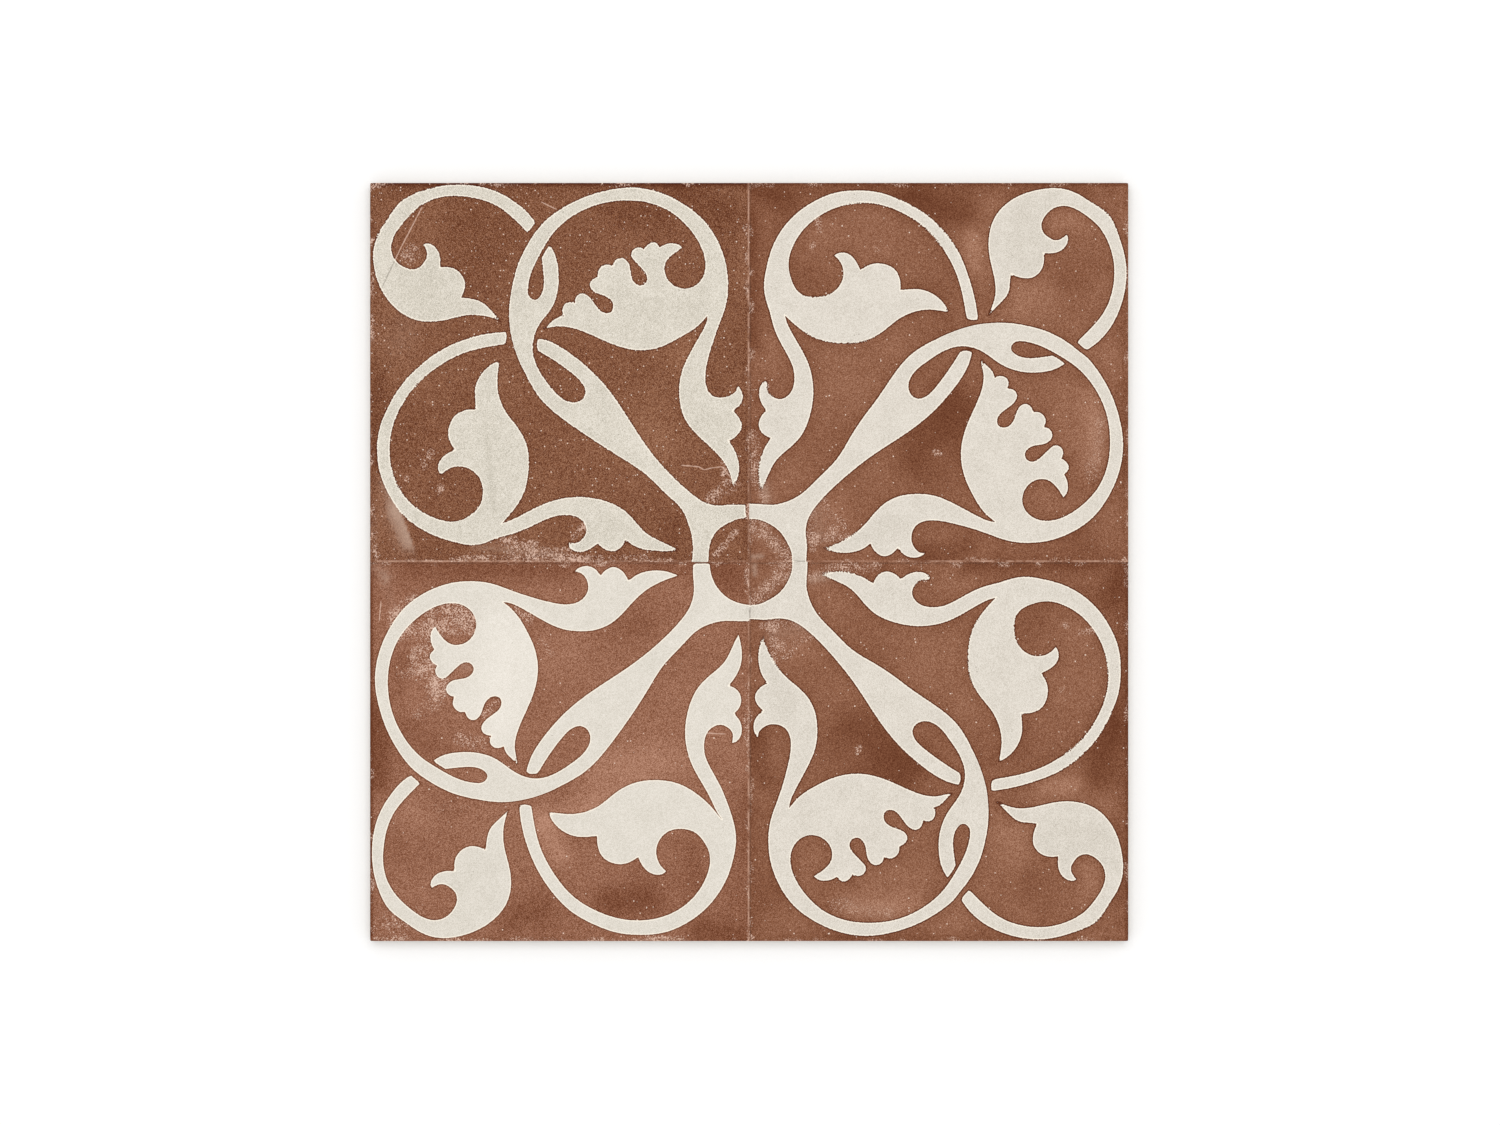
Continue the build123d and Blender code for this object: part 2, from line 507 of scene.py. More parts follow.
UPPER_LEFT_WEAR = WornOriginal(
    pulls=each(
        Pull,
        (12, 184, 32, (1.5, -0.3), 1.1), (104, 205, 28, (-0.6, -0.6), 0.3), (20, 134, 22, (2.2, 0)),
        (22, 92, 22, (1.2, 0)), (5, 58, 13, (2.4, 0.8)), (6, 90, 14, (1.5, 0)), (12, 150, 16, (0.6, 0)),
        (46, 178, 16, (2.1, -1)), (48, 130, 20, (0, 1.7)), (85, 172, 18, (0.5, -0.8)),
        (8, 36, 10, (0, -1.9)), (28, 6, 10, (1.1, 1.65)), (156, 76, 36, (0.6, 0.9)),
        (46, 8, 11, (2.6, 1.2)), (88, 5, 14, (0.8, 1.4)), (96, 14, 8, (2, 0)), (62, 6, 9, (0, 1)),
        (80, 206, 26, (0.1, 0.5), 0.5), (32, 42, 12, (0.3, -0.6)), (30, 125, 14, (-0.6, 0)),
        (146, 190, 20, (1.3, 0)), (18, 150, 7, (2.6, -4)), (20.5, 149, 4.5, (0, 0), -1),
        (17, 17, 11, (1.5, 1.5)), (24.5, 4, 6, (1.5, -0.6)), (1, 25, 5, (0, -1)),
        (180, 21, 34, (0, 1.4)), (118, 26, 28, (0, 1)), (68, 8, 14, (0, 0.7)),
        (206, 109, 32, (0.6, 0.5)), (70, 84, 32, (0.35, -0.35), 0.85), (103, 108, 10, (0.8, 0.2), -0.4),
        (44, 214, 20, (0, -0.6), 0.9), (57, 14, 9, (0.3, -1.1)), (102, 6, 7, (0.4, 0.4)),
        (64, 58, 20, (0, 0), 0.4), (207, 34, 22, (-0.5, 0.4)), (145, 166, 12, (0.5, 0)),
        (35, 7, 6, (-1.2, 0)), (138, 118, 8, (1.2, 1.4)), (134, 38, 14, (0.9, 0)),
        (152, 208, 16, (0.6, -0.3)), (206, 206, 14, (0.1, 0.1), -0.4),
    ),
    chalk=each(
        Smear,
        ((5, 141), (7, 108), 3.4, 0.34), ((2, 110), (2, 62), 3, 0.4), ((13, 148), (10, 128), 4, 0.36),
        ((3, 222), (30, 223), 3, 0.3), ((3, 115), (2.7, 168), 2.5, 0.28),
        ((104, 201), (110, 198), 9, 0.18), ((180, 204), (184, 200), 9, 0.27),
        ((57, 193), (65, 189), 3, 0.42), ((42, 184), (44, 183), 2.5, 0.5),
        ((49, 203), (50, 203), 2, 0.4), ((15, 104), (21, 98), 3, 0.42), ((38, 22), (47, 10), 5, 0.42),
        ((52, 15), (60, 15), 2, 0.6), ((78, 58), (84, 50), 9, 0.1), ((4, 20), (18, 8), 2.5, 0.4),
        ((27, 0.4), (34, 0.4), 1.6, 0.6),
    ),
    clouds=each(
        Smear,
        ((130, 218), (110, 200), 18, 0.12), ((72, 54), (95, 58), 13, 0.3),
        ((122, 42), (126, 40), 8, 0.5), ((60, 185), (80, 195), 20, -0.15),
        ((206, 8), (222, 40), 12, -0.5), ((224, 40), (223, 215), 7, -0.25),
        ((58, 221), (115, 220), 6, -0.35), ((206, 55), (209, 80), 8, -0.35),
        ((200, 175), (206, 165), 10, -0.3), ((8, 48), (20, 46), 7, -0.4), ((8, 200), (3, 150), 5, -0.1),
        ((165, 160), (195, 150), 14, -0.1), ((168, 2), (215, 3), 5, 0.35),
        ((225.3, 2), (225.3, 222), 1.6, -1.8),
    ),
    stains=each(
        Smear,
        ((70, 60), (40, 38), 16, 0.12), ((165, 190), (175, 200), 16, -0.1),
        ((75, 155.8), (30, 151.6), 1.6, -0.25),
    ),
    frays=each(
        Smear,
        ((45, 208), (108, 195), 5, 0.8), ((12, 200), (26, 210), 5, 0.9),
        ((195, 220), (220, 190), 4, 0.5), ((18, 172), (30, 148), 5, 0.3),
    ),
    hazes=each(
        Smear,
        ((14, 200.8), (29.5, 206.8), 8, 1, True), ((31, 209), (46, 217), 5, 0.4),
        ((130, 207), (146, 203), 10, 0.24), ((9, 163), (4, 112), 3, 0.4),
        ((30, 223.5), (2, 223), 3, 0.15),
    ),
    scratches=(
        ((165, 217), (186, 207), (209, 195)),
        ((57.3, 38.7), (56.6, 30.2), (54.7, 26.6), (55.8, 22.4), (56.6, 16.1), (53.8, 13.9), (46.9, 8.4)),
        ((213, 122), (210, 116)),
    ),
)
ORIGINALS = {Scan.RIGHT: RIGHT_WEAR, Scan.LOWER_LEFT: LOWER_LEFT_WEAR,
             Scan.UPPER_LEFT: UPPER_LEFT_WEAR}


# Numbers of the Mix node's sockets for colours, whose names its other kinds share
MIX_SHARE, MIX_FIRST, MIX_SECOND, MIX_RESULT = 0, 6, 7, 2

# Places of the left-hand originals in the grain, so that no two originals share it
UPPER_LEFT_SEED = 311.0
LOWER_LEFT_SEED = 677.0

# Lines printed beside the joints, as their offsets in X and in Y
PALE_LINE = (-0.4, 0.5)
DARK_LINE = (0.75, -0.75)

# Distances from a joint and from the border over which their own wear ends
JOINT_FADE = (0.2, 6.0)
BORDER_FADE = (0.4, 5.0)


class Value:
    """A number in a material, on which Python's operators add Math nodes."""

    def __init__(self, board: "Board", socket: Socket) -> None:
        """Keep the board that holds the nodes and the socket that gives the number."""
        self.board, self.socket = board, socket

    def __add__(self, other: "Value | float") -> "Value":
        """Sum of the two."""
        return self.board.math("ADD", self, other)

    def __sub__(self, other: "Value | float") -> "Value":
        """This less the other."""
        return self.board.math("SUBTRACT", self, other)

    def __rsub__(self, other: float) -> "Value":
        """The other less this."""
        return self.board.math("SUBTRACT", other, self)

    def __mul__(self, other: "Value | float") -> "Value":
        """Product of the two."""
        return self.board.math("MULTIPLY", self, other)

    __radd__ = __add__
    __rmul__ = __mul__

    def __neg__(self) -> "Value":
        """This with its sign turned."""
        return self * -1.0

    def above(self, limit: float) -> "Value":
        """One where this is over the limit, and nought elsewhere."""
        return self.board.math("GREATER_THAN", self, limit)

    def most(self, other: "Value | float") -> "Value":
        """The larger of the two."""
        return self.board.math("MAXIMUM", self, other)

    def least(self, other: "Value | float") -> "Value":
        """The smaller of the two."""
        return self.board.math("MINIMUM", self, other)

    def size(self) -> "Value":
        """This without its sign."""
        return self.board.math("ABSOLUTE", self)

    def rise(self, low: float, high: float) -> "Value":
        """Smooth step from nought at low to one at high.

        Args:
            low: Where the step starts.
            high: Where it ends.

        Returns:
            The step, between nought and one.
        """
        node = self.board.node("ShaderNodeMapRange", {"interpolation_type": "SMOOTHSTEP"},
                               {"Value": self, "From Min": low, "From Max": high})
        return Value(self.board, node.outputs["Result"])


class Board:
    """The nodes of one material or sky, with the few kinds of node that it needs."""

    def __init__(self, owner: "bpy.types.Material | bpy.types.World") -> None:
        """Start the owner's nodes afresh.

        Args:
            owner: The material or sky that the nodes belong to.
        """
        owner.use_nodes = True
        self.tree = owner.node_tree
        self.tree.nodes.clear()

    def node(self, kind: str, settings: dict | None = None,
             sockets: dict | None = None) -> bpy.types.Node:
        """Add one node.

        Args:
            kind: Blender's name for the node's type.
            settings: Properties to set first; a ramp's stops go under "stops".
            sockets: Values or links for its inputs, by name or number.

        Returns:
            The node.
        """
        made = self.tree.nodes.new(kind)
        for name, setting in (settings or {}).items():
            if name == "stops":
                ramp = made.color_ramp.elements
                while len(ramp) < len(setting):
                    ramp.new(1.0)
                for stop, (place, colour) in zip(ramp, setting):
                    stop.position, stop.color = place, colour
            else:
                setattr(made, name, setting)
        for name, given in (sockets or {}).items():
            given = given.socket if isinstance(given, Value) else given
            if isinstance(given, Socket):
                self.tree.links.new(given, made.inputs[name])
            else:
                made.inputs[name].default_value = given
        return made

    def math(self, operation: str, *terms: "Value | float") -> Value:
        """One Math node on one or two terms."""
        made = self.node("ShaderNodeMath", {"operation": operation}, dict(enumerate(terms)))
        return Value(self, made.outputs[0])

    def attribute(self, name: str) -> Value:
        """A number stored on the mesh's points."""
        made = self.node("ShaderNodeAttribute", {"attribute_name": name})
        return Value(self, made.outputs["Fac"])

    def noise(self, where: Socket, grain: float, detail: float, roughness: float = 0.6) -> Value:
        """Cloudy noise about nought.

        Args:
            where: Position in millimetres.
            grain: Size of the largest clouds in millimetres.
            detail: Further octaves.
            roughness: Share that each octave keeps.

        Returns:
            A number that mostly lies within a quarter of nought.
        """
        made = self.node("ShaderNodeTexNoise", {}, {
            "Vector": where, "Scale": 1.0 / grain, "Detail": detail, "Roughness": roughness})
        return Value(self, made.outputs["Fac"]) - 0.5

    def cells(self, where: Socket, size: float) -> tuple[Value, Value, Value]:
        """Irregular cells over the surface.

        Args:
            where: Position in millimetres.
            size: Size of a cell in millimetres.

        Returns:
            Distance from a cell's middle, in cells, and two random numbers for each cell.
        """
        made = self.node("ShaderNodeTexVoronoi", {}, {"Vector": where, "Scale": 1.0 / size}).outputs
        apart = self.node("ShaderNodeSeparateColor", {}, {"Color": made["Color"]}).outputs
        return Value(self, made["Distance"]), Value(self, apart["Red"]), Value(self, apart["Green"])

    def grit(self, where: Socket, size: float) -> Value:
        """Sandy grain: one random number about nought for each irregular cell."""
        return self.cells(where, size)[1] - 0.5

    def specks(self, where: Socket, spacing: float, radius: float, share: Value) -> Value:
        """Small round specks of uneven size, scattered one to a cell.

        Args:
            where: Position in millimetres.
            spacing: Size of a cell in millimetres.
            radius: Largest radius of a speck in millimetres.
            share: Part of the cells that hold one.

        Returns:
            One in a speck, nought elsewhere.
        """
        gap, chance, spread = self.cells(where, spacing)
        smallest = 0.3  # share of the largest radius
        soft = 0.3
        reach = spread * (1.0 - smallest) + smallest
        return ((1.0 - (gap * (spacing / radius) - reach).rise(-soft, soft))
                * self.math("LESS_THAN", chance, share))

    def mix(self, share: "Value | float", first: "Colour | Socket", second: "Colour | Socket") -> Socket:
        """Blend of two colours.

        Args:
            share: Part of the second colour.
            first: Colour or socket.
            second: Colour or socket.

        Returns:
            The blended colour's socket.
        """
        made = self.node("ShaderNodeMix", {"data_type": "RGBA"},
                         {MIX_SHARE: share, MIX_FIRST: first, MIX_SECOND: second})
        return made.outputs[MIX_RESULT]

    def ramp(self, share: Value, *colours: Colour) -> Socket:
        """Colour read from evenly spaced stops."""
        stops = [(i / (len(colours) - 1), c) for i, c in enumerate(colours)]
        return self.node("ShaderNodeValToRGB", {"stops": stops}, {"Fac": share}).outputs["Color"]


@dataclass(frozen=True)
class Tones:
    """Colours and strengths of the print from one worn original."""

    dark: Colour  # the brown ground's darkest grains
    brown: Colour
    light: Colour
    stain: Colour  # the cream print's darkest grains
    cream: Colour
    pale: Colour
    grain: float  # contrast of the ground's grain
    clouds: float  # contrast of its clouds
    specks: float  # share of its cells that hold a pale speck
    cream_grain: float  # contrast of the cream's grain
    pits: float  # share of its cells that hold a pit
    ragged: float  # how far the print's edge wanders
    rim: float  # darkening of the ground right beside the cream
    halo: float  # darkening further out


TONES = {
    Scan.RIGHT: Tones(
        dark=paint(93, 42, 12), brown=paint(141, 90, 62), light=paint(191, 143, 118),
        stain=paint(196, 188, 174), cream=paint(226, 218, 206), pale=paint(244, 237, 226),
        grain=0.72, clouds=0.5, specks=0.11, cream_grain=0.8, pits=0.04, ragged=0.9,
        rim=0.84, halo=0.07),
    Scan.UPPER_LEFT: Tones(
        dark=paint(78, 26, 0), brown=paint(125, 74, 43), light=paint(176, 128, 100),
        stain=paint(190, 183, 168), cream=paint(222, 214, 199), pale=paint(240, 233, 221),
        grain=1.0, clouds=0.32, specks=0.24, cream_grain=1.12, pits=0.14, ragged=1.4,
        rim=0.448, halo=0.0),
    Scan.LOWER_LEFT: Tones(
        dark=paint(98, 46, 16), brown=paint(146, 94, 67), light=paint(196, 147, 123),
        stain=paint(200, 193, 179), cream=paint(228, 221, 209), pale=paint(246, 239, 229),
        grain=0.85, clouds=0.45, specks=0.06, cream_grain=0.68, pits=0.02, ragged=0.6,
        rim=0.392, halo=0.0),
}


class FacePlace:
    """Where a point of the face lies, as the print and its wear follow it."""

    def __init__(self, board: Board, half_side: float) -> None:
        """Work out the quarter, the turned place and the distances to the edges.

        The ornament turns a quarter from one quarter of the face to the next, so
        a point's distances from the two joints swap in every other quarter.

        Args:
            board: The material's nodes.
            half_side: Half the side of the face in millimetres.
        """
        self.board = board
        coordinates = board.node("ShaderNodeTexCoord").outputs["Object"]
        self.true = board.node("ShaderNodeVectorMath", {"operation": "SCALE"},
                               {0: coordinates, "Scale": 1.0 / MM}).outputs[0]
        axes = board.node("ShaderNodeSeparateXYZ", {}, {0: self.true}).outputs
        x, y, self.height = (Value(board, axis) for axis in axes)
        right, top = x.above(0.0), y.above(0.0)
        self.upper_left = (1.0 - right) * top
        self.lower_left = (1.0 - right) * (1.0 - top)
        across, along = x.size(), y.size()
        same = right * top + self.lower_left
        self.turned = board.node("ShaderNodeCombineXYZ", {}, {
            0: along + (across - along) * same, 1: across + (along - across) * same,
            2: self.upper_left * UPPER_LEFT_SEED + self.lower_left * LOWER_LEFT_SEED}).outputs[0]
        self.joint, self.run = across.least(along), across.most(along)
        self.pale_line, self.dark_line = (
            (x - line[0]).size().least((y - line[1]).size()) for line in (PALE_LINE, DARK_LINE))
        self.beside_joint = 1.0 - self.joint.rise(*JOINT_FADE)
        self.beside_any = self.beside_joint + 1.0 - (half_side - self.run).rise(*BORDER_FADE)

    def strength(self, name: str) -> Value:
        """A strength of the print, by quarter."""
        base, upper, lower = (getattr(TONES[scan], name) for scan in Scan)
        return base + self.upper_left * (upper - base) + self.lower_left * (lower - base)

    def tint(self, share: Value, *names: str) -> Socket:
        """A colour of the print, by quarter.

        Args:
            share: Place along the stops.
            names: Names of the tones that are the stops.

        Returns:
            The colour's socket.
        """
        base, upper, lower = (
            self.board.ramp(share, *(getattr(TONES[scan], name) for name in names))
            for scan in Scan)
        return self.board.mix(self.lower_left, self.board.mix(self.upper_left, base, upper), lower)


@dataclass(frozen=True)
class PrintedFinish:
    """Matt printed face over the bare fired body: its colours, grains and edges."""

    half_side: float
    print_edge: float  # level on the arris where the print ends
    chalk: Colour = paint(222, 186, 166)
    haze: Colour = paint(192, 160, 140)
    speck: Colour = paint(246, 222, 204)
    pit: Colour = paint(140, 131, 119)
    edge_light: Colour = paint(255, 246, 230)
    joint_pale: Colour = paint(208, 165, 142)
    joint_dark: Colour = paint(74, 52, 40)
    body: Colour = paint(203, 188, 168)
    body_dark: Colour = paint(178, 160, 138)
    # Sizes of the grains
    grit_size: float = 0.32
    crumb_size: float = 0.9
    flake_size: float = 1.5
    lump_size: float = 7.0
    patch_size: float = 16.0
    cloud_size: float = 45.0
    mottle_size: float = 13.0
    break_size: float = 6.0
    clay_size: float = 6.0
    body_grit_size: float = 0.5
    speck_spacing: float = 1.9
    pit_spacing: float = 2.6
    speck_radius: float = 0.42
    # Where edges fade, as the start and the end of a smooth step
    print_fade: Point = (-0.12, 0.12)
    rim_fade: Point = (0.4, 0.95)
    halo_fade: Point = (1.0, 8.0)
    edge_light_fade: Point = (0.4, 0.78)
    scratch_fade: Point = (0.1, 0.5)
    joint_gap_fade: Point = (0.1, 0.4)
    pale_line_fade: Point = (0.3, 0.8)
    dark_line_fade: Point = (0.2, 0.6)
    print_trim: float = 0.14  # how far the cream stays inside its drawn outline
    fray: float = 3.5  # how far a frayed edge wanders
    # How the surface takes the light
    roughness: float = 0.74
    specular: float = 0.2
    relief_strength: float = 0.35
    relief_depth: float = 0.08

    def material(self) -> bpy.types.Material:
        """Build the material.

        Returns:
            One material for the face, the sides and the back.
        """
        made = bpy.data.materials.new("printed_cement_look")
        FaceLayers(Board(made), self).shade()
        return made


class FaceLayers:
    """Layers of the printed face, built as nodes on one board."""

    def __init__(self, board: Board, finish: PrintedFinish) -> None:
        """Make what several layers share: the grains, the print's edge and the wear.

        Args:
            board: The material's nodes.
            finish: Colours, grains and edges.
        """
        self.board, self.finish = board, finish
        self.place = FacePlace(board, finish.half_side)
        self.here = self.place.turned
        self.grit = board.grit(self.here, finish.grit_size)
        self.crumbs = board.noise(self.here, finish.crumb_size, 2.0)
        self.flakes = board.noise(self.here, finish.flake_size, 3.0)
        self.patches = board.noise(self.here, finish.patch_size, 3.0, 0.55)
        self.depth = self._depth()
        self.cream = self.depth.rise(*finish.print_fade)
        self.chalk = self._chalk()
        beside_scratch = board.attribute("scratch").size() + self.flakes
        self.scratch = ((1.0 - beside_scratch.rise(*finish.scratch_fade))
                        * board.attribute("scored").rise(0.4, 0.8))
        self.pits = board.specks(self.here, finish.pit_spacing, finish.speck_radius,
                                 self.place.strength("pits"))

    def _depth(self) -> Value:
        """Depth inside the cream print, whose edge is ragged and in places frayed.

        Depths add up where the print's layers overlap, and the nearest layer
        counts outside them all.

        Returns:
            Millimetres, below nought on the brown ground.
        """
        stem, band, leaf = (self.board.attribute(name) for name in PRINT_LAYERS)
        inside = stem.most(0.0) + band.most(0.0) + leaf.most(0.0)
        outside = stem.most(band).most(leaf).least(0.0)
        ragged = self.crumbs * self.place.strength("ragged")
        frayed = (self.flakes + self.crumbs) * self.finish.fray * self.board.attribute("fray")
        return inside + outside + ragged + frayed - self.finish.print_trim

    def _chalk(self) -> Value:
        """Chalky wear in flakes, where it is marked and beside the joints and the border.

        Returns:
            Share of the chalk, between nought and one.
        """
        beside = self.place.beside_any
        lumps = self.board.noise(self.here, self.finish.lump_size, 3.0)
        worn = self.board.attribute("chalk") * 0.8 + beside * 0.12 + self.patches * beside * 1.6
        broken = lumps * 2.6 + self.crumbs * 5.5 + self.grit
        return (worn + broken * worn.rise(0.0, 0.3)).rise(0.4, 1.05)

    def ground(self) -> Socket:
        """Brown ground: clouds, sandy grain, a darker rim by the cream, then specks and wear.

        Returns:
            The ground's colour.
        """
        board, place, finish = self.board, self.place, self.finish
        outside = -self.depth
        rim = ((1.0 - outside.rise(*finish.rim_fade)) * place.strength("rim")
               + (1.0 - outside.rise(*finish.halo_fade)) * place.strength("halo"))
        clouds = board.noise(self.here, finish.cloud_size, 6.0, 0.55) * place.strength("clouds")
        grain = (self.grit + self.flakes * 0.12) * place.strength("grain")
        tone = clouds + grain + board.attribute("cloud") * 0.32 - rim - place.beside_any * 0.08 + 0.5
        colour = place.tint(tone, "dark", "brown", "light")
        sprinkle = place.strength("specks") * (1.0 + self.patches * 4.0) + place.beside_joint * 0.05
        specks = board.specks(self.here, finish.speck_spacing, finish.speck_radius, sprinkle)
        colour = board.mix(specks * 0.95, colour, finish.speck)
        haze = board.attribute("haze")
        streaks = (haze + self.flakes * 1.2).rise(0.25, 0.5)
        colour = board.mix(haze * (0.3 + self.grit * 0.3 + streaks * 0.5), colour, finish.haze)
        colour = board.mix(self.chalk * 0.95, colour, finish.chalk)
        return board.mix(self.scratch * 0.7, colour, finish.chalk)

    def cream_print(self) -> Socket:
        """Cream print: grain, faint mottle, small pits and a brighter edge.

        Returns:
            The print's colour.
        """
        board, place, finish = self.board, self.place, self.finish
        mottle = board.noise(self.here, finish.mottle_size, 5.0, 0.62) * 0.6
        tone = ((self.grit + mottle) * place.strength("cream_grain") + board.attribute("stain")
                - place.beside_any * 0.05 + 0.5)
        colour = place.tint(tone, "stain", "cream", "pale")
        colour = board.mix(self.pits.most(self.scratch) * 0.6, colour, finish.pit)
        return board.mix(1.0 - self.depth.rise(*finish.edge_light_fade), colour, finish.edge_light)

    def joints(self, face: Socket) -> Socket:
        """Printed joints between the quarters, broken: pale on brown and dark on cream.

        Args:
            face: Colour of the face without them.

        Returns:
            The colour with them.
        """
        board, place, finish = self.board, self.place, self.finish
        breaks = board.noise(place.true, finish.break_size, 4.0, 0.65)
        brown = 1.0 - self.cream
        kept = (breaks * 2.4).rise(-0.4, 0.4) * (0.35 + place.run.rise(90.0, 130.0) * 0.4)
        pale = (1.0 - (place.pale_line + breaks).rise(*finish.pale_line_fade)) * kept
        face = board.mix(pale * brown, face, finish.joint_pale)
        dark = (1.0 - place.dark_line.rise(*finish.dark_line_fade)) * (0.25 - breaks)
        face = board.mix(dark * brown, face, finish.joint_dark)
        gap = (1.0 - place.joint.rise(*finish.joint_gap_fade)) * (breaks * 3.0).rise(-0.3, 0.6)
        return board.mix(gap * self.cream * 0.55, face, finish.joint_dark)

    def body(self) -> Socket:
        """Bare fired body, mottled and grained.

        Returns:
            The body's colour.
        """
        board, finish = self.board, self.finish
        clay = board.noise(self.place.true, finish.clay_size, 4.0) * 1.6
        grain = board.grit(self.place.true, finish.body_grit_size) * 0.5
        return board.mix((clay + grain + 0.5).rise(0.0, 1.0), finish.body, finish.body_dark)

    def shade(self) -> None:
        """Lay the print over the body, down to the arris, and set how both take the light."""
        board, finish = self.board, self.finish
        face = self.joints(board.mix(self.cream, self.ground(), self.cream_print()))
        low, high = (finish.print_edge + step for step in finish.print_fade)
        printed = (self.place.height + self.flakes * 0.35).rise(low, high)
        relief = self.flakes * 0.6 + self.cream * 0.12 - self.pits * 0.4
        bump = board.node("ShaderNodeBump", {}, {
            "Strength": finish.relief_strength, "Distance": finish.relief_depth * MM, "Height": relief})
        shader = board.node("ShaderNodeBsdfPrincipled", {}, {
            "Base Color": board.mix(printed, self.body(), face),
            "Roughness": finish.roughness + self.chalk * 0.1 - self.cream * 0.05 + self.flakes * 0.15,
            "Normal": bump.outputs["Normal"], "Specular IOR Level": finish.specular})
        board.node("ShaderNodeOutputMaterial", {}, {"Surface": shader.outputs["BSDF"]})


@dataclass
class TileSlab:
    """The pressed slab: printed face, rounded arris, drafted sides and keyed back."""

    face_side: float = 450.0
    thickness: float = 10.0
    corner_radius: float = 0.8
    arris: float = 0.5
    arris_steps: int = 3
    land_height: float = 4.5
    draft_inset: float = 1.2
    keys_across: int = 14
    rib_crown: float = 4.0
    key_depth: float = 0.9
    key_draft: float = 35.0
    rim_width: float = 15.8
    joint_half: float = 0.15  # from the middle to the grid's first line
    face_steps: int = 144
    edge_line: float = 0.3  # from the arris to the closer lines that keep its shading crisp
    points: np.ndarray = field(default_factory=lambda: np.zeros((0, 3)))
    corners: list[np.ndarray] = field(default_factory=list)
    smooth: list[np.ndarray] = field(default_factory=list)

    def _lines(self) -> np.ndarray:
        """Places of the face's grid lines across one side.

        Even steps run from the middle joint to the arris, with one closer line
        just inside it, and the other half mirrors them.

        Returns:
            Increasing positions in millimetres.
        """
        reach = self.face_side / 2 - self.arris
        half = np.append(np.linspace(self.joint_half, reach - self.edge_line, self.face_steps), reach)
        return np.concatenate((-half[::-1], half))

    @staticmethod
    def _loop(count: int) -> np.ndarray:
        """Indices round the edge of a square grid, anticlockwise from its lowest corner.

        Args:
            count: Points along a side.

        Returns:
            Four sides' indices, each without its last point.
        """
        grid = np.arange(count * count).reshape(count, count)
        return np.concatenate((grid[0, :-1], grid[:-1, -1], grid[-1, :0:-1], grid[:0:-1, 0]))

    @staticmethod
    def _ring(lines: np.ndarray, half: float, radius: float, height: float) -> np.ndarray:
        """One level ring round a square with rounded corners.

        A side's points keep their share of its length. Those within the radius
        of a corner go onto its arc, which each side follows for 45 degrees.

        Args:
            lines: Places of the face's grid lines.
            half: Half the square's side.
            radius: Radius of its corners.
            height: Level of the ring.

        Returns:
            Points anticlockwise from the lowest corner.
        """
        side = lines[:-1] / lines[-1] * half
        straight = half - radius
        angle = np.clip((np.abs(side) - straight) / radius, 0.0, 1.0) * math.pi / 4
        bent = np.where(np.abs(side) > straight, straight + radius * np.sin(angle), np.abs(side))
        x, y = np.sign(side) * bent, -(straight + radius * np.cos(angle))
        turns = [(x, y), (-y, x), (-x, -y), (y, -x)]
        level = np.concatenate([np.stack(turn, axis=1) for turn in turns])
        return np.column_stack((level, np.full(len(level), height)))

    def _add(self, faces: np.ndarray, smooth: bool) -> None:
        """Keep faces of one corner count, smooth or flat."""
        self.corners.append(faces)
        self.smooth.append(np.full(len(faces), smooth))

    def _face(self, lines: np.ndarray) -> np.ndarray:
        """Flat printed face: a grid in X and Y at the top level.

        Args:
            lines: Places of its grid lines.

        Returns:
            Indices of its edge, anticlockwise.
        """
        x, y = np.meshgrid(lines, lines)
        self.points = np.stack((x.ravel(), y.ravel(), np.full(x.size, self.thickness)), axis=1)
        count = len(lines)
        grid = np.arange(count * count).reshape(count, count)
        self._add(np.stack((grid[:-1, :-1], grid[:-1, 1:], grid[1:, 1:], grid[1:, :-1]),
                           axis=2).reshape(-1, 4), True)
        return self._loop(count)

    def _sides(self, lines: np.ndarray, edge: np.ndarray) -> np.ndarray:
        """Rings carried down from the face: quarter-round arris, land, then draft.

        Args:
            lines: Places of the face's grid lines.
            edge: Indices of the face's edge.

        Returns:
            Indices of the lowest ring.
        """
        half = self.face_side / 2
        turns = np.linspace(0.0, math.pi / 2, self.arris_steps + 1)
        inset = self.arris * (1.0 - np.sin(turns))
        drop = self.arris * (1.0 - np.cos(turns))
        levels = [(half - i, self.corner_radius - i, self.thickness - d) for i, d in zip(inset, drop)]
        levels += [(half, self.corner_radius, self.thickness - self.arris - self.edge_line),
                   (half, self.corner_radius, self.thickness - self.land_height),
                   (half - self.draft_inset, self.corner_radius, 0.0)]
        self.points[edge] = self._ring(lines, *levels[0])
        above = edge
        for number, level in enumerate(levels[1:], 1):
            ring = self._ring(lines, *level)
            below = len(self.points) + np.arange(len(ring))
            self.points = np.concatenate((self.points, ring))
            self._add(np.stack((above, below, np.roll(below, -1), np.roll(above, -1)), axis=1),
                      number <= self.arris_steps + 1)
            above = below
        return above

